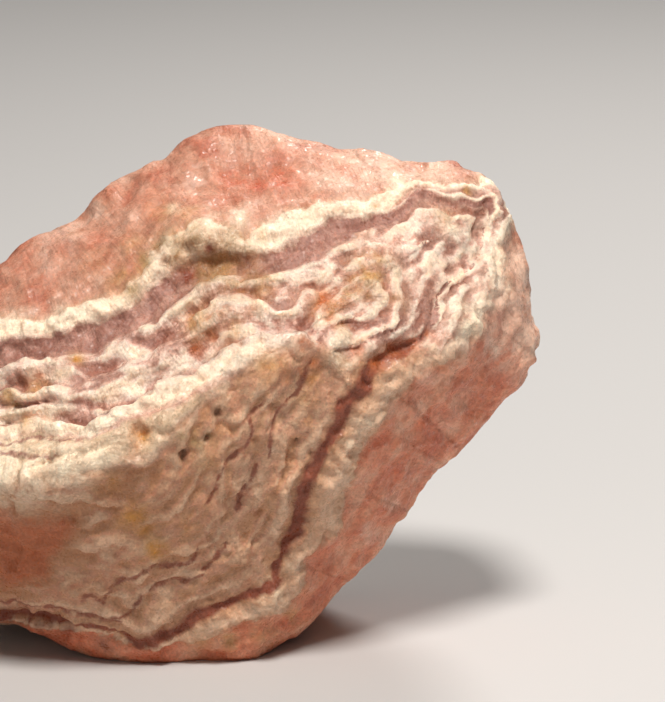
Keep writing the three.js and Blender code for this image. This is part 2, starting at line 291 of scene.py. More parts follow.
# Stains and patches as x, height, across and strength on the section
RUST_SPOTS = [
    (13.1, 32.9, 2.2, 0.9), (11.0, 28.5, 1.3, 0.9), (12.0, 27.1, 1.7, 0.8), (11.1, 25.9, 1.3, 0.6),
    (9.1, 25.7, 1.7, 0.6), (21.2, 28.7, 1.5, 0.9), (19.6, 27.9, 1.5, 0.9), (18.2, 26.5, 1.4, 0.8),
    (22.7, 29.6, 1.1, 0.7), (-3.9, 20.5, 1.7, 0.7), (-4.6, 19.1, 1.3, 0.6), (1.0, 28.3, 1.3, 0.7),
    (2.5, 29.2, 1.5, 0.7), (-14.0, 25.9, 0.9, 0.5), (13.6, 31.1, 1.3, 0.6), (16.4, 28.5, 1.7, 0.6),
    (-4.5, 12.0, 1.5, 0.5), (-2.6, 8.8, 1.1, 0.5),
]
TAN_SPOTS = [
    (17.3, 35.3, 4.9, 0.9), (15.4, 33.6, 2.8, 0.7), (-5.6, 34.4, 3.0, 0.8), (-3.9, 36.0, 2.4, 0.7),
    (-10.2, 27.4, 1.5, 0.8), (4.7, 35.2, 3.7, 0.8), (7.2, 34.5, 2.8, 0.7), (1.4, 31.0, 3.7, 0.7),
    (4.0, 30.2, 3.2, 0.7), (-4.7, 37.9, 2.8, 0.5), (-1.9, 41.3, 2.6, 0.5), (0.3, 41.2, 2.2, 0.5),
    (-8.4, 36.2, 2.8, 0.35), (17.5, 42.1, 0.7, 0.8), (26.3, 43.4, 0.7, 0.8), (-16.2, 23.3, 1.7, 0.9),
    (-14.0, 24.9, 2.1, 0.6), (-4.5, 12.0, 2.6, 1.0), (-2.6, 8.8, 2.0, 1.0), (1.9, 17.3, 2.8, 0.35),
    (7.8, 26.9, 2.6, 0.6), (12.6, 32.9, 3.2, 0.5), (24.3, 41.1, 2.4, 0.5), (10.7, 23.7, 2.4, 0.4),
    (19.2, 32.9, 2.8, 0.5), (7.2, 39.0, 1.5, 0.6), (15.0, 30.0, 1.9, 0.5), (-7.0, 23.7, 1.7, 0.4),
    (3.0, 36.6, 4.6, 0.8), (-0.4, 38.8, 3.4, 0.6), (5.4, 37.2, 2.4, 0.6), (-12.0, 26.0, 2.0, 0.5),
    (1.5, -0.2, 2.0, 0.6), (4.4, 0.2, 2.0, 0.7), (7.4, 0.9, 2.0, 0.6), (10.0, 2.2, 1.8, 0.6),
]
OLIVE_SPOTS = [
    (0.5, 39.4, 1.0, 0.9), (-2.2, 38.1, 1.3, 0.7), (-4.9, 34.1, 1.5, 0.6), (1.9, 35.2, 1.9, 0.8),
    (3.0, 36.6, 1.7, 0.7), (-0.5, 19.8, 1.1, 0.7), (0.8, 19.3, 1.4, 0.6), (2.1, 19.8, 0.7, 0.6),
    (15.0, 19.7, 0.9, 0.2), (15.6, 16.5, 0.8, 0.25), (14.5, 14.6, 0.7, 0.2), (4.2, 38.7, 2.1, 0.6),
    (2.4, 35.7, 2.6, 0.8), (1.0, 38.6, 1.6, 0.7), (-3.4, 36.6, 1.6, 0.6), (-0.6, 36.9, 1.4, 0.7),
]
WHITE_SPOTS = [
    (26.4, 30.5, 2.8, 1.0), (25.2, 31.6, 2.2, 0.9), (28.5, 36.5, 2.2, 0.9), (19.9, 44.4, 1.9, 0.7),
    (30.2, 39.4, 1.7, 0.6), (13.9, 27.9, 2.1, 0.8), (15.0, 26.5, 1.5, 0.6), (16.5, 21.3, 1.5, 0.5),
    (15.4, 19.4, 1.1, 0.4), (8.1, 4.7, 2.6, 0.6), (9.8, 7.5, 1.3, 0.4), (4.8, 40.4, 1.9, 0.8),
    (2.6, 40.4, 1.9, 0.6), (24.8, 39.6, 2.2, 0.6), (-15.4, 30.8, 2.8, 0.5), (-11.7, 31.1, 2.8, 0.5),
    (-8.9, 31.7, 1.9, 0.5), (13.6, 41.4, 2.2, 0.5), (-15.4, 17.4, 7.0, 1.0), (-11.0, 16.9, 4.4, 1.0),
    (-8.0, 17.9, 3.0, 0.8), (-12.5, 21.9, 2.4, 0.5), (-1.0, 41.9, 1.2, 0.5), (3.9, 39.2, 1.4, 0.7),
]
RED_SPOTS = [
    (4.4, 44.6, 2.8, 0.8), (6.4, 44.3, 3.2, 1.0), (8.5, 45.0, 3.4, 1.0), (10.2, 44.8, 2.2, 0.8),
    (7.6, 47.1, 3.2, 0.5), (23.1, 20.4, 2.8, 0.7), (26.6, 24.4, 3.4, 0.7), (24.4, 21.9, 2.4, 0.8),
    (19.6, 15.9, 2.1, 0.6), (23.4, 19.4, 2.2, 0.9), (22.2, 16.2, 1.5, 0.7), (-3.3, 42.1, 2.4, 0.4),
    (-8.1, 38.9, 2.1, 0.5), (13.6, 41.9, 2.4, 0.5), (15.1, 45.4, 2.2, 0.4), (29.4, 25.4, 2.4, 0.4),
    (-15.0, 36.5, 3.7, 0.4), (-11.7, 37.7, 2.8, 0.4), (10.7, -0.4, 2.8, 0.4), (12.6, 7.8, 2.4, 0.4),
]
PINK_SPOTS = [
    (29.4, 33.0, 3.0, 0.8), (27.6, 34.0, 1.9, 0.7), (29.9, 30.4, 2.6, 0.8), (29.4, 28.2, 4.4, 0.9),
    (32.7, 29.0, 5.0, 1.0), (33.0, 24.8, 3.0, 0.8), (30.8, 20.6, 2.6, 0.8), (28.3, 16.9, 2.6, 0.8),
    (25.6, 12.6, 2.6, 0.8), (22.2, 7.8, 2.6, 0.8), (19.2, 3.7, 2.6, 0.8), (16.0, 0.5, 2.4, 0.6),
    (22.7, 17.5, 1.0, 0.7), (17.0, 10.6, 1.6, 0.6), (21.8, 23.0, 1.6, 0.6), (19.5, 13.2, 1.4, 0.5),
    (31.6, 36.0, 4.0, 0.9), (31.8, 33.0, 3.0, 0.9), (26.2, 28.4, 1.9, 0.6), (27.2, 40.4, 1.6, 0.6),
    (24.0, 36.0, 2.4, 0.5), (21.8, 34.6, 1.8, 0.5), (10.4, 34.0, 2.4, 0.4), (22.4, 25.6, 1.8, 0.6),
    (16.5, 46.0, 7.0, 0.7), (22.0, 46.4, 6.0, 0.9), (8.0, 48.6, 5.0, 0.6), (13.5, 44.6, 3.6, 0.5),
]
EARTH_SPOTS = [
    (3.0, 37.6, 4.4, 0.9), (5.6, 36.3, 3.4, 0.8), (0.6, 37.9, 2.6, 0.8), (1.6, 34.6, 3.2, 0.6),
    (-0.6, 36.4, 2.2, 0.7), (4.4, 34.0, 3.0, 0.5), (-2.4, 37.6, 1.8, 0.6), (2.0, 36.2, 2.6, 1.0),
    (5.2, 37.8, 1.8, 0.8),
]
OCHRE_SPOTS = [
    (-4.7, 12.2, 2.1, 1.0), (-2.7, 8.8, 1.8, 1.0), (-3.6, 10.6, 1.4, 0.7), (-14.6, 20.9, 1.8, 0.7),
    (-3.7, 19.9, 1.7, 0.8), (-10.2, 27.4, 1.3, 0.7), (8.0, 26.4, 1.8, 0.6), (11.6, 25.6, 1.5, 0.6),
    (6.7, 32.0, 1.4, 0.5), (14.0, 32.0, 1.6, 0.6), (0.0, 10.8, 1.2, 0.5), (-7.4, 15.2, 2.4, 0.4),
]
# The first six darken the recess at the foot of the front in dark red: painted shade there; the last two are
# dark red marks
RECESS_SHADE_AND_DARK_SPOTS = [
    (-16.7, 2.4, 2.0, 1.0), (-14.9, 2.1, 2.0, 1.0), (-13.0, 1.8, 1.8, 0.9), (-11.1, 0.9, 1.5, 0.8),
    (-7.6, -0.5, 1.8, 0.6), (-19.0, 2.9, 2.4, 1.0), (2.1, 37.7, 1.1, 1.0), (0.0, 35.1, 1.4, 1.0),
]
SPOTS = {
    "rust": RUST_SPOTS, "tan": TAN_SPOTS, "olive": OLIVE_SPOTS, "white": WHITE_SPOTS, "pink": PINK_SPOTS,
    "red": RED_SPOTS, "earth": EARTH_SPOTS, "dark": RECESS_SHADE_AND_DARK_SPOTS, "ochre": OCHRE_SPOTS,
}

# Colours of the stone, linear
PINK_DEEP = (0.46, 0.165, 0.105)
PINK = (0.54, 0.27, 0.185)
PINK_PALE = (0.66, 0.41, 0.31)
# Pinks below the front ridge: warmer, deeper copies of the rind's pinks, partly painted shade on the face
# turned down from the light
SHADED_PINK_DEEP = (0.56, 0.155, 0.075)
SHADED_PINK = (0.68, 0.25, 0.14)
SHADED_PINK_PALE = (0.74, 0.37, 0.24)
CREAM = (0.93, 0.78, 0.61)
CREAM_WARM = (0.65, 0.49, 0.34)
# The crusts' deepest hollows: painted shade
HOLLOW_SHADE = (0.33, 0.14, 0.10)
# The dark band below the front ridge: a darker copy of the mauve, partly painted shade
SHADED_MAUVE = (0.25, 0.068, 0.035)
MAUVE = (0.31, 0.145, 0.11)
MAUVE_PALE = (0.43, 0.23, 0.18)
ROSE = (0.60, 0.36, 0.29)
WHITE_WARM = (0.82, 0.67, 0.565)
BEIGE = (0.56, 0.36, 0.235)
# Colours below the front ridge: darker, browner copies of the pale layers, painted shade on the face turned
# down from the light over the stone's own beige and pink
SHADED_PALE = (0.73, 0.50, 0.35)
SHADED_WHITE = (0.58, 0.355, 0.23)
SHADED_ROSE = (0.57, 0.28, 0.19)
SHADED_BEIGE = (0.52, 0.28, 0.155)
SHADED_BROWN = (0.42, 0.20, 0.10)
CORE_RED = (0.44, 0.13, 0.05)

# Colours of the layers by layer number, above the front ridge and below it, where they are darker, browner
# copies: painted shade
LAYER_SCALE = 5.0
UPPER_COLOURS = [
    (0.0, CREAM_WARM), (1.0, CREAM_WARM), (1.06, CREAM), (1.75, CREAM), (2.0, CREAM_WARM), (2.14, ROSE),
    (2.18, WHITE_WARM), (2.3, WHITE_WARM), (2.36, ROSE), (2.46, MAUVE), (2.52, WHITE_WARM),
    (2.68, WHITE_WARM), (2.74, ROSE), (2.82, MAUVE), (2.97, MAUVE), (3.01, WHITE_WARM), (3.04, CREAM),
    (3.09, CREAM), (3.12, ROSE), (3.15, CREAM_WARM), (3.3, CREAM_WARM), (3.7, BEIGE), (3.95, BEIGE),
    (4.02, CORE_RED),
]
SHADED_LAYER_COLOURS = [
    (0.0, SHADED_BEIGE), (1.0, SHADED_BEIGE), (1.06, SHADED_WHITE), (1.3, SHADED_PALE), (1.85, SHADED_BEIGE),
    (2.1, SHADED_BEIGE), (2.25, SHADED_WHITE), (2.6, SHADED_BEIGE), (2.9, SHADED_WHITE), (3.2, SHADED_BEIGE),
    (3.5, SHADED_BROWN), (3.95, SHADED_BROWN), (4.13, CORE_RED),
]

# Colours of the crusts by their height, from their hollows to their rims: their own mauve and white, with
# painted shade darkening the hollows and painted light paling the rims
CRUST_SHADING_RAMP = [(0.03, HOLLOW_SHADE), (0.22, MAUVE), (0.42, ROSE), (0.6, WHITE_WARM), (0.92, CREAM)]
CRUST_SHADING_RAMP_BELOW = [
    (0.1, SHADED_BROWN), (0.3, SHADED_BEIGE), (0.5, SHADED_ROSE), (0.65, SHADED_WHITE), (0.9, SHADED_PALE),
]
CRUSTS_SHOW = 0.9
CRUSTS_SHOW_BELOW = 0.65
CRUST_RAGGEDNESS = 1.2

# Colours that mottling picks, on the rind (warmer, deeper pinks below the front ridge, partly painted
# shade), on the dark band and over everything
PINK_MOTTLES = [(0.34, PINK_DEEP), (0.48, PINK), (0.64, PINK_PALE)]
SHADED_PINK_MOTTLES = [(0.4, SHADED_PINK_DEEP), (0.5, SHADED_PINK), (0.62, SHADED_PINK_PALE)]
BAND_MOTTLES = [(0.42, MAUVE), (0.62, MAUVE_PALE)]
WARM_MOTTLES = [(0.32, (0.9, 0.76, 0.66)), (0.6, (1.0, 1.0, 1.0))]
WARM_SHARE = 0.6

# Patches under the dark band, and stains and painted shade over it: mesh attribute, colour and strength
PATCHES = [
    ("white", (0.90, 0.76, 0.57), 0.9), ("pink", (0.80, 0.54, 0.41), 0.9),
    ("red", (0.50, 0.115, 0.055), 0.85),
]
STAIN_AND_SHADE_MARKS = [
    ("tan", (0.50, 0.27, 0.10), 0.85), ("rust", (0.46, 0.13, 0.04), 1.0),
    ("olive", (0.38, 0.25, 0.10), 0.8), ("earth", (0.28, 0.13, 0.055), 0.9),
    # The dark mark is partly painted shade, in the recess at the foot of the front
    ("ochre", (0.52, 0.23, 0.045), 0.9), ("dark", (0.20, 0.05, 0.025), 0.95),
    # The pits' near-black is painted shade inside them
    ("pits", (0.12, 0.045, 0.018), 1.0),
]

# Noise over the surface: how far across its lumps are in millimetres, detail and roughness
RAGGED_NOISE = (0.9, 5.0, 0.65)
RIND_NOISE = (4.5, 5.0, 0.6)
MOTTLED_NOISE = (2.2, 5.0, 0.66)
ROUGH_NOISE = (0.9, 3.0, 0.6)

# Ranges that are mapped onto 0 to 1, or onto the last two numbers where there are four
RIND_EDGE = (0.95, 1.1)
BAND_EDGE = (1.45, 0.65)
STAINS_BREAK_UP = (0.36, 0.62, 0.2, 1.45)
SEAMS_VARY = (0.3, 0.7, -0.12, 0.1)
SEAMS_EDGE = (0.06, 0.27, 0.9, 0.0)
SUGAR_BEGINS = (0.9, 1.2)
FIBRES_END = (2.9, 3.3, 1.0, 0.0)
GRAIN_SHADES = (0.0, 1.0, 0.88, 1.12)
FIBRE_SHADES = (0.3, 0.7, 0.88, 1.12)

# Textures too fine for the mesh, in millimetres: grains, streaks along the layers, fibres across them
COARSE_GRAIN = 0.7
FINE_GRAIN = 0.2
STREAK_SIZE = (1.5, 1.5, 0.5)
STREAK_HEIGHT = 0.16
FIBRE_SIZE = (0.4, 2.2, 2.6)
FIBRE_HEIGHT = 0.12
STRETCHED_DETAIL = 4.0
STRETCHED_ROUGHNESS = 0.6
ROUGH_HEIGHT = 0.1

# Arcs that the saw left on the back: centre in metres, how many and how uneven, and height in millimetres
SAW_CENTRE = (-0.09, 0.0, -0.03)
SAW_SCALE = 260.0
SAW_DISTORTION = 0.6
SAW_DETAIL = 2.0
SAW_HEIGHT = 0.25

# What differs between the broken faces and the sawn one
Finish = namedtuple("Finish", "sawn raggedness coarse_tilt fine_tilt sugary_tilt grain_shade bump roughness")
BROKEN = Finish(
    sawn=False, raggedness=0.9, coarse_tilt=0.4, fine_tilt=0.24, sugary_tilt=0.44, grain_shade=1.0,
    bump=1.0, roughness=0.56,
)
SAWN = Finish(
    sawn=True, raggedness=0.35, coarse_tilt=0.03, fine_tilt=0.03, sugary_tilt=0.03, grain_shade=0.4,
    bump=0.1, roughness=0.35,
)

# How the stone takes the light, with the depth of the glow inside it in millimetres
REFRACTION = 1.6
SPECULAR = 0.35
SHINY_GRAINS_OVER = 0.8
SHINE = 0.3
GLOW = 0.45
GLOW_RADIUS = (1.0, 0.5, 0.35)
GLOW_DEPTH = 0.8

# Sockets of the Mix node when it mixes colours
MIX_SHARE, MIX_FIRST, MIX_SECOND, MIX_RESULT = 0, 6, 7, 2


# Numbers at points

def soft_step(low, high, values):
    """From 0 at low to 1 at high, with soft ends."""
    t = np.clip((values - low) / (high - low), 0.0, 1.0)
    return t * t * (3.0 - 2.0 * t)


def knots(pairs, values):
    """Straight lines between pairs of numbers."""
    return np.interp(values, [a for a, _ in pairs], [b for _, b in pairs])


def noise_over(points, across, shift):
    """Smooth noise from about -1 to 1 at each point, with lumps about that far across."""
    scaled = points / across + shift
    return np.array([noise.noise(Vector(p)) for p in scaled])


def noise_sum(points, parts):
    """Noise added up from parts, each with a size across, a strength and a shift to a fresh pattern."""
    return sum(strength * noise_over(points, across, shift) for across, strength, shift in parts)


def billows_over(points, across, shift):
    """Round lumps with sharp creases between them, from -1 to 1."""
    return 1.0 - np.clip(CREASE_STEEPNESS * np.abs(noise_over(points, across, shift)), 0.0, 2.0)


def cleavage_over(points, across, seed):
    """Flat faces that tilt at random, about that far across, with heights from about -1 to 1."""
    random = np.random.default_rng(seed)
    middles = random.random((CLEAVAGE_CELLS, CLEAVAGE_CELLS, CLEAVAGE_CELLS, 3))
    tilts = random.uniform(-CLEAVAGE_TILT, CLEAVAGE_TILT, middles.shape)
    scaled = points / across
    nearest = np.full(len(points), np.inf)
    heights = np.zeros(len(points))
    for step in itertools.product((-1, 0, 1), repeat=3):
        cell = np.floor(scaled).astype(int) + step
        pick = tuple((cell % CLEAVAGE_CELLS).T)
        away = scaled - cell - middles[pick]
        distance = (away ** 2).sum(axis=1)
        heights = np.where(distance < nearest, (away * tilts[pick]).sum(axis=1), heights)
        nearest = np.minimum(nearest, distance)
    return heights


def stretches(line, places, closed):
    """For each stretch of a line: its length, and each place's share along it and distance from it."""
    line = np.array(line)
    ends = np.roll(line, -1, axis=0) if closed else line[1:]
    for start, end in zip(line, ends):
        step = end - start
        away = places - start
        share = np.clip(away @ step / (step @ step), 0.0, 1.0)
        gap = away - share[:, None] * step
        yield np.hypot(*step), share, np.hypot(gap[:, 0], gap[:, 1])


def distance_to(line, places, closed=False):
    """Distance from each place to a line."""
    nearest = np.full(len(places), np.inf)
    for _, _, distance in stretches(line, places, closed):
        nearest = np.minimum(nearest, distance)
    return nearest


def depth_inside(ring, places):
    """Distance from each place to a closed ring, positive inside."""
    ring = np.array(ring)
    x, h = places[:, 0], places[:, 1]
    inside = np.zeros(len(places), bool)
    for (ax, ah), (bx, bh) in zip(ring, np.roll(ring, -1, axis=0)):
        crosses = (ah > h) != (bh > h)
        with np.errstate(divide="ignore", invalid="ignore"):
            inside ^= crosses & (x < ax + (h - ah) / (bh - ah) * (bx - ax))
    return distance_to(ring, places, closed=True) * np.where(inside, 1.0, -1.0)


def along_ring(ring, places):
    """How far round a closed ring the point nearest to each place is."""
    nearest = np.full(len(places), np.inf)
    position = np.zeros(len(places))
    passed = 0.0
    for length, share, distance in stretches(ring, places, closed=True):
        position = np.where(distance < nearest, passed + share * length, position)
        nearest = np.minimum(nearest, distance)
        passed += length
    return position


# What runs through the stone

def section_places(points):
    """Where points lie on the section: the layers dip towards the back and open out towards the front."""
    x, y, z = points.T
    place = np.stack([x, z + LAYER_DIP * y], axis=1)
    spread = 1.0 + LAYER_SPREAD * (SPREAD_TOWARDS[0] * y + SPREAD_TOWARDS[1] * (z - CAMERA_TARGET[2]))
    return SECTION_CENTRE + (place - SECTION_CENTRE) * spread[:, None]


def layer_numbers(places):
    """Layer numbers, and how many to a mm: 1 ends the rind, 2 is the dark band, 3 the ledge, 4 the core."""
    depths = [depth_inside(ring, places) for ring in LAYER_RINGS]
    layer = np.maximum(0.0, 1.0 + depths[0] / RIND_DEPTH)
    per_mm = np.full(len(places), 1 / RIND_DEPTH)
    for i, (outer, inner) in enumerate(zip(depths, depths[1:])):
        between_rings = (outer > 0) & (inner <= 0)
        thickness = np.maximum(outer - inner, THINNEST_LAYER)
        layer = np.where(between_rings, i + 1 + outer / thickness, layer)
        per_mm = np.where(between_rings, 1 / thickness, per_mm)
    core = depths[-1] > 0
    layer = np.where(core, len(LAYER_RINGS) + depths[-1] / CORE_DEPTH, layer)
    return layer, np.where(core, 1 / CORE_DEPTH, per_mm)


def spots(marks, places):
    """How strongly soft round marks lie on each place, from 0 to 1."""
    total = np.zeros(len(places))
    for x, h, across, strength in marks:
        away = np.hypot(places[:, 0] - x, places[:, 1] - h) / (across / 2)
        total = np.maximum(total, strength * np.exp(-away * away))
    return total


def nearest_seam(places):
    """Distance to the nearest of the thin seams, no further than their reach."""
    nearest = np.full(len(places), SEAM_REACH)
    for line in SEAMS:
        nearest = np.minimum(nearest, distance_to(line, places))
    return nearest


def crusts(strata, x, off_flats):
    """Overlapping crusts, from 1 on their rims to -1 in their hollows, lumpier off the flats."""
    past = strata[:, 2] - FIRST_CRUST
    wander = noise_sum(strata, CRUST_WANDER) * soft_step(*WANDER_BEGINS, past)
    phase = past / knots(CRUST_SPACING, x) + wander
    phase -= np.floor(phase)
    fall = (1.0 - phase) / (1.0 - CRUST_RISE)
    height = np.where(phase < CRUST_RISE, soft_step(0.0, CRUST_RISE, phase), fall)
    strength = np.clip(CRUST_MEAN + noise_sum(strata, CRUST_FADES), *CRUST_LIMITS)
    lumpiness = SAWN_LUMPS + (1.0 - SAWN_LUMPS) * off_flats
    return (2.0 * CRUST_RIM * height - CRUST_RIM) * strength + noise_sum(strata, CRUST_LUMPS) * lumpiness


def layers_at(points, low, high):
    """What runs through the stone at each point, as named arrays; the stone's box is from low to high."""
    at = SimpleNamespace(places=section_places(points))
    x, depth = at.places[:, 0], points[:, 1]
    bends = [[(across, far, shift) for across, far in LAYER_WANDER] for shift in WANDER_SHIFTS]
    wander = np.stack([noise_sum(points, parts) for parts in bends], axis=1)
    at.ragged = at.places + wander
    at.layer, at.layers_per_mm = layer_numbers(at.ragged)
    above_ridge = at.places[:, 1] + wander[:, 0] - knots(FRONT_RIDGE, x)
    at.upper = soft_step(-RIDGE_BLEND, RIDGE_BLEND, above_ridge)

    past_band = depth_inside(DARK_BAND, at.ragged)
    band_width = at.upper * knots(BAND_ABOVE, x) + (1.0 - at.upper) * knots(BAND_BELOW, x)
    at.band = np.abs(past_band) / (band_width * (1.0 - spots(BAND_FADES, at.places)))
    round_band = along_ring(DARK_BAND, at.places) + FIBRES_SPREAD * x + FIBRES_SLANT * depth
    at.fibres = np.stack([round_band, past_band, depth], axis=1)
    at.strata = np.stack([x + STRATA_SLANT * depth, at.places[:, 1], past_band], axis=1)

    at.off_flats = soft_step(0.0, FLATS_BLEND, np.minimum(high[1] - depth, points[:, 2] - low[2]))
    at.crust = crusts(at.strata, x, at.off_flats)
    begin = knots(CRUSTS_BEGIN, x)
    at.in_crusts = soft_step(begin, begin + CRUSTS_BLEND, at.layer)
    ends_above = at.upper * soft_step(*CRUSTS_END_ABOVE, at.layer)
    at.crusty = at.in_crusts * (ends_above + (1.0 - at.upper) * soft_step(*CRUSTS_END_BELOW, at.layer))

    jitter = np.stack([noise_over(points, JITTER_LUMPS, shift) for shift in JITTER_SHIFTS], axis=1)
    at.seam = nearest_seam(at.ragged + SEAM_JITTER * jitter)
    at.pits = spots(PITS, at.places + PIT_JITTER * jitter)
    return at


# The shape of the stone

def ledges(x, layer, upper):
    """How far the broken layers stand out: in ledges above the front ridge, and nearly flush below it."""
    above = knots(UPPER_LEDGES, layer) * knots(LEDGES_FADE, x)
    return upper * above + (1.0 - upper) * knots(LOWER_LEDGES, layer)


def lumps(points, rind, knobbly):
    """Roughness of the broken surface: lumps and cleavage facets, and knobs in the cream."""
    total = np.zeros(len(points))
    for across, high_on_rind, high_inside, shift in BROKEN_LUMPS:
        total += (high_inside + (high_on_rind - high_inside) * rind) * noise_over(points, across, shift)
    for share, (across, high, shift) in ((knobbly, CREAM_KNOBS), (rind, RIND_LUMPS)):
        total += high * share * billows_over(points, across, shift)
    for (across, high), (across_inside, high_inside) in zip(CLEAVAGE_ON_RIND, CLEAVAGE_INSIDE):
        total += high * rind * cleavage_over(points, across, RIND_SEED)
        total += high_inside * (1.0 - rind) * cleavage_over(points, across_inside, INSIDE_SEED)
    return total


def relief_of(points, at):
    """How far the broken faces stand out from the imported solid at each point, in millimetres."""
    x = at.places[:, 0]
    rind = soft_step(*RIND_ENDS, at.layer)
    relief = ledges(x, at.layer, at.upper)
    relief += lumps(points, rind, (1.0 - rind) * (1.0 - at.in_crusts))
    relief += at.crust * at.in_crusts * (
        knots(CRUST_HEIGHT_ABOVE, x) * at.upper + CRUST_HEIGHT_BELOW * (1.0 - at.upper)
    )
    fringe = np.exp(-((at.layer - FRINGE_LAYER) / FRINGE_WIDTH) ** 2) * at.upper
    relief += FRINGE_HEIGHT * fringe * noise_over(points, FRINGE_LUMPS, FRINGE_SHIFT)
    relief -= BAND_GROOVE * np.exp(-at.band ** 2)
    relief -= SEAM_GROOVE * np.exp(-(at.seam / SEAM_HALF_WIDTH) ** 2)
    relief -= PIT_DEPTH * at.pits
    for *form, out in FORMS:
        relief += out * spots([(*form, 1.0)], at.ragged)
    for half_width, out, line in CREASES:
        relief += out * np.exp(-(distance_to(line, at.ragged) / half_width) ** 2)
    return relief * at.off_flats


def room_outside(points, normals, low, high):
    """How far each point can move out along its normal before it leaves the box from low to high."""
    ahead = np.where(normals > 0, high - points, points - low)
    return np.maximum(ahead / np.maximum(np.abs(normals), SHALLOWEST_FACING), LEAST_ROOM).min(axis=1)


def vectors_of(mesh, field):
    """The place or the normal of each point of the mesh."""
    flat = np.empty(len(mesh.vertices) * 3)
    mesh.vertices.foreach_get(field, flat)
    return flat.reshape(-1, 3)


def add_attribute(mesh, name, values):
    """A number or a vector at each point of the mesh, for the materials to read."""
    kind, field = ("FLOAT", "value") if values.ndim == 1 else ("FLOAT_VECTOR", "vector")
    mesh.attributes.new(name, kind, "POINT").data.foreach_set(field, values.astype(np.float32).ravel())


def even_copy(node_name):
    """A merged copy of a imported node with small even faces, worn smooth except on the two flats."""
    bm = bmesh.new()
    bm.from_mesh(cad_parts[node_name].data)
    bmesh.ops.remove_doubles(bm, verts=bm.verts, dist=MERGE_DISTANCE * MM)
    mesh = bpy.data.meshes.new("banded_stone")
    bm.to_mesh(mesh)
    bm.free()
    piece = bpy.data.objects.new("banded_stone", mesh)
    bpy.context.scene.collection.objects.link(piece)
    remesh = piece.modifiers.new("even faces", "REMESH")
    remesh.mode = "VOXEL"
    remesh.voxel_size = VOXEL * MM
    evaluated = piece.evaluated_get(bpy.context.evaluated_depsgraph_get())
    piece.data = bpy.data.meshes.new_from_object(evaluated)
    piece.modifiers.clear()
    bm = bmesh.new()
    bm.from_mesh(piece.data)
    back = cad_box[1].y - FLAT_TOLERANCE * MM
    rest = cad_box[0].z + FLAT_TOLERANCE * MM
    rough = [v for v in bm.verts if v.co.y < back and v.co.z > rest]
    axes = {"use_axis_x": True, "use_axis_y": True, "use_axis_z": True}
    for _ in range(WEAR_PASSES):
        bmesh.ops.smooth_vert(bm, verts=rough, factor=WEAR_STRENGTH, **axes)
    bm.to_mesh(piece.data)
    bm.free()
    return piece


def banded_stone():
    """The stone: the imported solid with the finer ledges, lumps, grooves and pits of its broken faces."""
    piece = even_copy(STONE_NODE)
    mesh = piece.data
    points = vectors_of(mesh, "co") / MM
    normals = vectors_of(mesh, "normal")
    low, high = (np.array(corner) / MM for corner in cad_box)
    at = layers_at(points, low, high)
    relief = relief_of(points, at)
    room = room_outside(points, normals, low, high)
    relief = np.minimum(relief, room * np.tanh(relief / room))
    moved = np.clip(points + normals * relief[:, None], low, high)
    mesh.vertices.foreach_set("co", (moved * MM).ravel())
    mesh.update()

    attributes = {
        "layer": at.layer, "layers_per_mm": at.layers_per_mm, "upper": at.upper,
        "band": np.minimum(at.band, BAND_REACH), "crust": at.crust, "crusty": at.crusty,
        "strata": at.strata, "fibres": at.fibres, "seam": at.seam,
        **{name: spots(marks, at.ragged) for name, marks in SPOTS.items()},
        "pits": at.pits,
    }
    for name, values in attributes.items():
        add_attribute(mesh, name, values)
    for polygon in mesh.polygons:
        polygon.use_smooth = True
    return piece


# Shader nodes

def node(tree, kind, inputs=(), **settings):
    """Adds a shader node, and links or sets its inputs, which are given by a socket's name or number."""
    made = tree.nodes.new(kind)
    for name, value in settings.items():
        setattr(made, name, value)
    for socket, value in dict(inputs).items():
        if isinstance(value, bpy.types.NodeSocket):
            tree.links.new(value, made.inputs[socket])
        else:
            made.inputs[socket].default_value = value
    return made


def maths(tree, operation, *values, clamp=False):
    """A Math node's result."""
    return node(tree, "ShaderNodeMath", enumerate(values), operation=operation, use_clamp=clamp).outputs[0]


def vector_maths(tree, operation, inputs):
    """A Vector Math node's result."""
    return node(tree, "ShaderNodeVectorMath", inputs, operation=operation).outputs[0]


def between(tree, value, low, high, at_low=0.0, at_high=1.0):
    """A value mapped from one range to another and kept inside it."""
    inputs = {"Value": value, "From Min": low, "From Max": high, "To Min": at_low, "To Max": at_high}
    return node(tree, "ShaderNodeMapRange", inputs).outputs[0]


def ramp(tree, factor, stops):
    """A colour ramp through stops of place from 0 to 1 and colour."""
    made = node(tree, "ShaderNodeValToRGB", {"Fac": factor})
    elements = made.color_ramp.elements
    while len(elements) < len(stops):
        elements.new(1.0)
    for element, (place, colour) in zip(elements, stops):
        element.position = place
        element.color = (*colour, 1.0)
    return made.outputs["Color"]


def mix(tree, share, first, second, blend="MIX"):
    """Two colours mixed by a share from 0 to 1."""
    first, second = ((*colour, 1.0) if isinstance(colour, tuple) else colour for colour in (first, second))
    inputs = {MIX_SHARE: share, MIX_FIRST: first, MIX_SECOND: second}
    return node(tree, "ShaderNodeMix", inputs, data_type="RGBA", blend_type=blend).outputs[MIX_RESULT]


def attribute(tree, name, output="Fac"):
    """A number, or with the output Vector a vector, from the mesh."""
    return node(tree, "ShaderNodeAttribute", attribute_name=name).outputs[output]


def fractal(tree, place, noise_kind):
    """A Noise Texture's value."""
    across, detail, roughness = noise_kind
    inputs = {"Vector": place, "Scale": 1 / (across * MM), "Detail": detail, "Roughness": roughness}
    return node(tree, "ShaderNodeTexNoise", inputs).outputs["Fac"]


def stretched(tree, place, size):
    """A Noise Texture's value, with lumps of that size along each axis of a place in millimetres."""
    scaled = vector_maths(tree, "DIVIDE", {0: place, 1: size})
    inputs = {"Vector": scaled, "Scale": 1.0, "Detail": STRETCHED_DETAIL, "Roughness": STRETCHED_ROUGHNESS}
    return node(tree, "ShaderNodeTexNoise", inputs).outputs["Fac"]


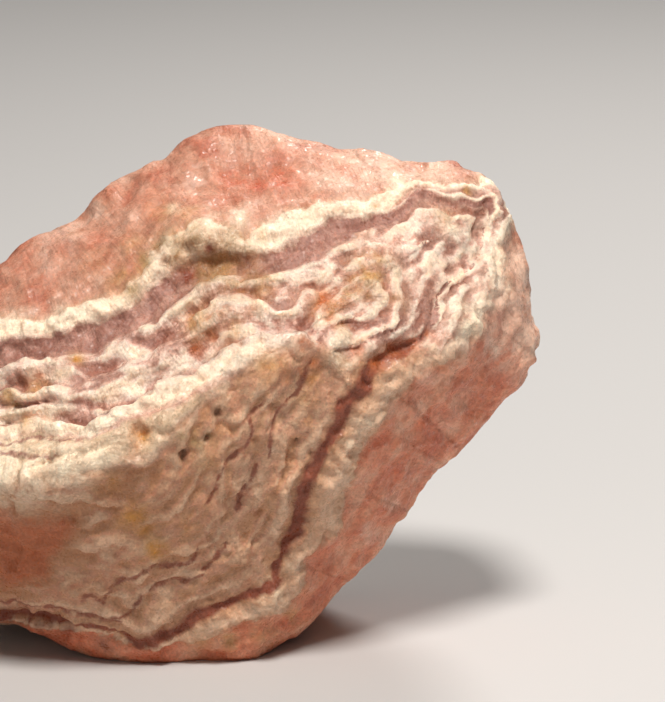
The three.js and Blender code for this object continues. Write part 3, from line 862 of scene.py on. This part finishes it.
def new_group(name, inputs, outputs):
    """An empty node group with named sockets: name, kind and, for inputs, default."""
    group = bpy.data.node_groups.new(name, "ShaderNodeTree")
    for socket, kind, default in inputs:
        made = group.interface.new_socket(name=socket, in_out="INPUT", socket_type="NodeSocket" + kind)
        made.default_value = default
    for socket, kind in outputs:
        group.interface.new_socket(name=socket, in_out="OUTPUT", socket_type="NodeSocket" + kind)
    return group, group.nodes.new("NodeGroupInput").outputs, group.nodes.new("NodeGroupOutput").inputs


# Materials

def crystal_grain_group():
    """Flat grains: a normal that each tilts its own way, a mask of the shiny ones, and a shade for each."""
    inputs = [
        ("Vector", "Vector", (0, 0, 0)), ("Normal", "Vector", (0, 0, 1)),
        ("Grain Size", "Float", FINE_GRAIN * MM), ("Tilt", "Float", BROKEN.fine_tilt),
    ]
    outputs = [("Normal", "Vector"), ("Shine", "Float"), ("Shade", "Float")]
    tree, given, result = new_group("crystal grain", inputs, outputs)
    scale = maths(tree, "DIVIDE", 1.0, given["Grain Size"])
    grain = node(tree, "ShaderNodeTexVoronoi", {"Vector": given["Vector"], "Scale": scale}).outputs["Color"]
    level = vector_maths(tree, "SUBTRACT", {0: grain, 1: (0.5, 0.5, 0.5)})
    tilt = vector_maths(tree, "SCALE", {0: level, "Scale": given["Tilt"]})
    tilted = vector_maths(tree, "ADD", {0: given["Normal"], 1: tilt})
    tree.links.new(vector_maths(tree, "NORMALIZE", {0: tilted}), result["Normal"])
    picked = node(tree, "ShaderNodeSeparateColor", {0: grain}).outputs
    tree.links.new(maths(tree, "GREATER_THAN", picked[0], SHINY_GRAINS_OVER), result["Shine"])
    tree.links.new(picked[1], result["Shade"])
    return tree


def layer_colour_group():
    """Colour of the layers, with darker copies below the front ridge as painted shade, crusts painted darker
    in their hollows and paler on their rims, and the dark band's mask.
    """
    inputs = [
        ("Vector", "Vector", (0, 0, 0)), ("Streaks", "Float", 0.5),
        ("Layer", "Float", 0.0), ("Layers Per Millimetre", "Float", 1 / RIND_DEPTH),
        ("Upper", "Float", 1.0), ("Band", "Float", BAND_REACH),
        ("Crust", "Float", 0.0), ("Crusty", "Float", 0.0),
        ("Raggedness", "Float", BROKEN.raggedness),
    ]
    outputs = [("Color", "Color"), ("Band", "Float")]
    tree, given, result = new_group("layer colour", inputs, outputs)
    fine = maths(tree, "SUBTRACT", fractal(tree, given["Vector"], RAGGED_NOISE), 0.5)
    streaks = maths(tree, "SUBTRACT", given["Streaks"], 0.5)
    waver = maths(tree, "MULTIPLY", maths(tree, "ADD", fine, streaks), given["Raggedness"])
    step = maths(tree, "MULTIPLY", waver, given["Layers Per Millimetre"])
    layer = maths(tree, "ADD", given["Layer"], step)
    factor = maths(tree, "DIVIDE", layer, LAYER_SCALE)
    upper = ramp(tree, factor, [(place / LAYER_SCALE, colour) for place, colour in UPPER_COLOURS])
    # Below the front ridge the layers take darker copies: painted shade
    shaded_layers = ramp(tree, factor, [(place / LAYER_SCALE, colour) for place, colour in SHADED_LAYER_COLOURS])

    # Crust colours follow the crusts' height: painted shade in the hollows, painted light on the rims, over
    # their own mauve and white
    crust = maths(tree, "MULTIPLY_ADD", waver, CRUST_RAGGEDNESS, given["Crust"])
    crust = between(tree, crust, -1.0, 1.0)
    in_crusts = maths(tree, "MULTIPLY", given["Crusty"], CRUSTS_SHOW)
    upper = mix(tree, in_crusts, upper, ramp(tree, crust, CRUST_SHADING_RAMP))
    in_crusts_below = maths(tree, "MULTIPLY", in_crusts, CRUSTS_SHOW_BELOW)
    shaded_layers = mix(tree, in_crusts_below, shaded_layers, ramp(tree, crust, CRUST_SHADING_RAMP_BELOW))
    inner = mix(tree, given["Upper"], shaded_layers, upper)

    mottle = fractal(tree, given["Vector"], RIND_NOISE)
    # Below the front ridge the rind takes warmer, deeper pinks: partly painted shade
    pinks = [ramp(tree, mottle, stops) for stops in (SHADED_PINK_MOTTLES, PINK_MOTTLES)]
    rind = mix(tree, given["Upper"], *pinks)
    tree.links.new(mix(tree, between(tree, layer, *RIND_EDGE), rind, inner), result["Color"])
    tree.links.new(between(tree, maths(tree, "ADD", given["Band"], waver), *BAND_EDGE), result["Band"])
    return tree


def layered_colour(tree, place, streaks, layer_colour, finish):
    """The layers' colour and the band's mask; a sawn face shows the same clean layers all over."""
    values = {
        "Vector": place, "Streaks": streaks, "Raggedness": finish.raggedness,
        "Layer": attribute(tree, "layer"), "Layers Per Millimetre": attribute(tree, "layers_per_mm"),
        "Band": attribute(tree, "band"), "Crust": attribute(tree, "crust"),
        "Crusty": attribute(tree, "crusty"),
    }
    if not finish.sawn:
        # Below the front ridge the group picks the darker copies: painted shade
        values["Upper"] = attribute(tree, "upper")
    made = node(tree, "ShaderNodeGroup", values, node_tree=layer_colour)
    return made.outputs["Color"], made.outputs["Band"]


def stained(tree, shade, marks, mottle):
    """A colour with marks laid over it, patches, stains and painted shade among them, broken up by mottling.
    """
    patchy = between(tree, mottle, *STAINS_BREAK_UP)
    for kind, stain, strength in marks:
        share = maths(tree, "MULTIPLY", attribute(tree, kind), patchy)
        shade = mix(tree, maths(tree, "MULTIPLY", share, strength, clamp=True), shade, stain)
    return shade


def stone_colour(tree, place, streaks, mottle, rough, layer_colour, finish):
    """The layers, with patches, the dark band, stains with painted shade in pits and a recess, and thin
    seams laid over them in that order.
    """
    shade, on_band = layered_colour(tree, place, streaks, layer_colour, finish)
    shade = mix(tree, WARM_SHARE, shade, ramp(tree, mottle, WARM_MOTTLES), "MULTIPLY")
    band = ramp(tree, mottle, BAND_MOTTLES)
    if finish.sawn:
        return mix(tree, on_band, shade, band)
    # Below the front ridge the band takes a darker mauve: partly painted shade
    band = mix(tree, attribute(tree, "upper"), SHADED_MAUVE, band)
    shade = stained(tree, shade, PATCHES, mottle)
    shade = stained(tree, mix(tree, on_band, shade, band), STAIN_AND_SHADE_MARKS, mottle)
    from_seam = maths(tree, "ADD", attribute(tree, "seam"), between(tree, rough, *SEAMS_VARY))
    return mix(tree, between(tree, from_seam, *SEAMS_EDGE), shade, band)


def grains(tree, place, normal, crystal_grain, across, tilt):
    """Crystal grains about that many millimetres across, tilted from a normal."""
    inputs = {"Vector": place, "Normal": normal, "Grain Size": across * MM, "Tilt": tilt}
    return node(tree, "ShaderNodeGroup", inputs, node_tree=crystal_grain).outputs


def saw_marks(tree, place):
    """Faint arcs that a round saw leaves on its cut."""
    off = vector_maths(tree, "SUBTRACT", {0: place, 1: SAW_CENTRE})
    inputs = {"Vector": off, "Scale": SAW_SCALE, "Distortion": SAW_DISTORTION, "Detail": SAW_DETAIL}
    return node(tree, "ShaderNodeTexWave", inputs, wave_type="RINGS", rings_direction="Y").outputs["Fac"]


def fine_height(tree, place, streaks, rough, fibres, inside, finish):
    """Height of the textures that are too fine for the mesh, in millimetres."""
    height = maths(tree, "MULTIPLY", streaks, maths(tree, "MULTIPLY", inside, STREAK_HEIGHT))
    height = maths(tree, "MULTIPLY_ADD", rough, ROUGH_HEIGHT, height)
    height = maths(tree, "MULTIPLY_ADD", fibres, FIBRE_HEIGHT, height)
    if finish.sawn:
        height = maths(tree, "MULTIPLY_ADD", saw_marks(tree, place), SAW_HEIGHT, height)
    return height


def stone_material(name, layer_colour, crystal_grain, finish):
    """Banded carbonate, broken or sawn: its colour, crystal grains, and textures too fine for the mesh."""
    material = bpy.data.materials.new(name)
    material.use_nodes = True
    tree = material.node_tree
    tree.nodes.clear()
    place = node(tree, "ShaderNodeTexCoord").outputs["Object"]
    mottle = fractal(tree, place, MOTTLED_NOISE)
    rough = fractal(tree, place, ROUGH_NOISE)
    streaks = stretched(tree, attribute(tree, "strata", "Vector"), STREAK_SIZE)
    fibres = stretched(tree, attribute(tree, "fibres", "Vector"), FIBRE_SIZE)
    fibrous = between(tree, attribute(tree, "layer"), *FIBRES_END)
    fibres = maths(tree, "MULTIPLY_ADD", maths(tree, "SUBTRACT", fibres, 0.5), fibrous, 0.5)
    shade = stone_colour(tree, place, streaks, mottle, rough, layer_colour, finish)

    inside = between(tree, attribute(tree, "layer"), *SUGAR_BEGINS)
    sugary = maths(tree, "MULTIPLY", inside, attribute(tree, "upper"))
    fine_tilt = between(tree, sugary, 0.0, 1.0, finish.fine_tilt, finish.sugary_tilt)
    normal = node(tree, "ShaderNodeNewGeometry").outputs["Normal"]
    coarse = grains(tree, place, normal, crystal_grain, COARSE_GRAIN, finish.coarse_tilt)
    fine = grains(tree, place, coarse["Normal"], crystal_grain, FINE_GRAIN, fine_tilt)
    paler = between(tree, fine["Shade"], *GRAIN_SHADES)
    paler = maths(tree, "MULTIPLY", paler, between(tree, fibres, *FIBRE_SHADES))
    shade = mix(tree, finish.grain_shade, shade, vector_maths(tree, "SCALE", {0: shade, "Scale": paler}))

    height = fine_height(tree, place, streaks, rough, fibres, inside, finish)
    bump = {"Height": height, "Normal": fine["Normal"], "Strength": finish.bump, "Distance": MM}
    normal = node(tree, "ShaderNodeBump", bump).outputs[0]
    roughness = maths(tree, "MULTIPLY_ADD", fine["Shine"], -SHINE, finish.roughness)
    shader = node(tree, "ShaderNodeBsdfPrincipled", {
        "Base Color": shade, "Roughness": roughness, "Normal": normal, "IOR": REFRACTION,
        "Specular IOR Level": SPECULAR, "Subsurface Weight": GLOW, "Subsurface Radius": GLOW_RADIUS,
        "Subsurface Scale": GLOW_DEPTH * MM,
    }, subsurface_method="BURLEY")
    node(tree, "ShaderNodeOutputMaterial", {"Surface": shader.outputs[0]})
    return material


def plain_material(name, colour, roughness):
    """One colour and one roughness all over."""
    material = bpy.data.materials.new(name)
    material.use_nodes = True
    shader = material.node_tree.nodes["Principled BSDF"]
    shader.inputs["Base Color"].default_value = (*colour, 1.0)
    shader.inputs["Roughness"].default_value = roughness
    return material


# Camera and studio

def place_facing(thing, place, target):
    """Puts a lamp or the camera in the scene at a place in millimetres, facing a target."""
    place, target = Vector(place) * MM, Vector(target) * MM
    thing.location = place
    thing.rotation_mode = "QUATERNION"
    thing.rotation_quaternion = (target - place).to_track_quat("-Z", "Y")
    bpy.context.scene.collection.objects.link(thing)


def camera():
    """The camera, which sees the stone at the same angle and size as the photograph does."""
    elevation = math.radians(CAMERA_ELEVATION)
    lens = bpy.data.cameras.new("camera")
    lens.sensor_width = SENSOR_WIDTH
    lens.lens = PIXELS_PER_MM * CAMERA_DISTANCE * SENSOR_WIDTH / max(PICTURE_SIZE)
    lens.clip_start = CAMERA_CLIP_START * MM
    made = bpy.data.objects.new("camera", lens)
    back = Vector((0.0, -math.cos(elevation), math.sin(elevation))) * CAMERA_DISTANCE
    place_facing(made, Vector(CAMERA_TARGET) + back, CAMERA_TARGET)
    bpy.context.scene.camera = made


def round_lamp(lamp):
    """A round soft lamp that faces the stone."""
    light = bpy.data.lights.new(lamp.name, "AREA")
    light.shape = "DISK"
    light.size = lamp.size * MM
    light.energy = lamp.power
    light.color = lamp.colour
    place_facing(bpy.data.objects.new(lamp.name, light), lamp.place, LAMPS_FACE)


def studio():
    """A plain pale floor, soft light from above and a dim pale surround."""
    bm = bmesh.new()
    bmesh.ops.create_circle(bm, cap_ends=True, segments=FLOOR_SEGMENTS, radius=FLOOR_RADIUS * MM)
    mesh = bpy.data.meshes.new("floor")
    bm.to_mesh(mesh)
    bm.free()
    mesh.materials.append(plain_material("pale floor", FLOOR_COLOUR, FLOOR_ROUGHNESS))
    floor = bpy.data.objects.new("floor", mesh)
    bpy.context.scene.collection.objects.link(floor)
    for lamp in LAMPS:
        round_lamp(lamp)
    world = bpy.data.worlds.new("surround")
    world.use_nodes = True
    background = world.node_tree.nodes["Background"]
    background.inputs["Color"].default_value = (*SURROUND_COLOUR, 1.0)
    background.inputs["Strength"].default_value = SURROUND_STRENGTH
    bpy.context.scene.world = world
    bpy.context.scene.view_settings.view_transform = "Standard"


def is_sawn(polygon):
    """Whether a face lies on the flat back."""
    return polygon.normal.y > SAWN_FACING and polygon.center.y > cad_box[1].y - FLAT_TOLERANCE * MM


# The finished stone in its studio
stone = banded_stone()
layer_colour = layer_colour_group()
crystal_grain = crystal_grain_group()
stone.data.materials.clear()
stone.data.materials.append(stone_material("broken banded stone", layer_colour, crystal_grain, BROKEN))
stone.data.materials.append(stone_material("sawn banded stone", layer_colour, crystal_grain, SAWN))
for face in stone.data.polygons:
    face.material_index = int(is_sawn(face))
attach(stone, "root")
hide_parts(STONE_NODE)
studio()
camera()
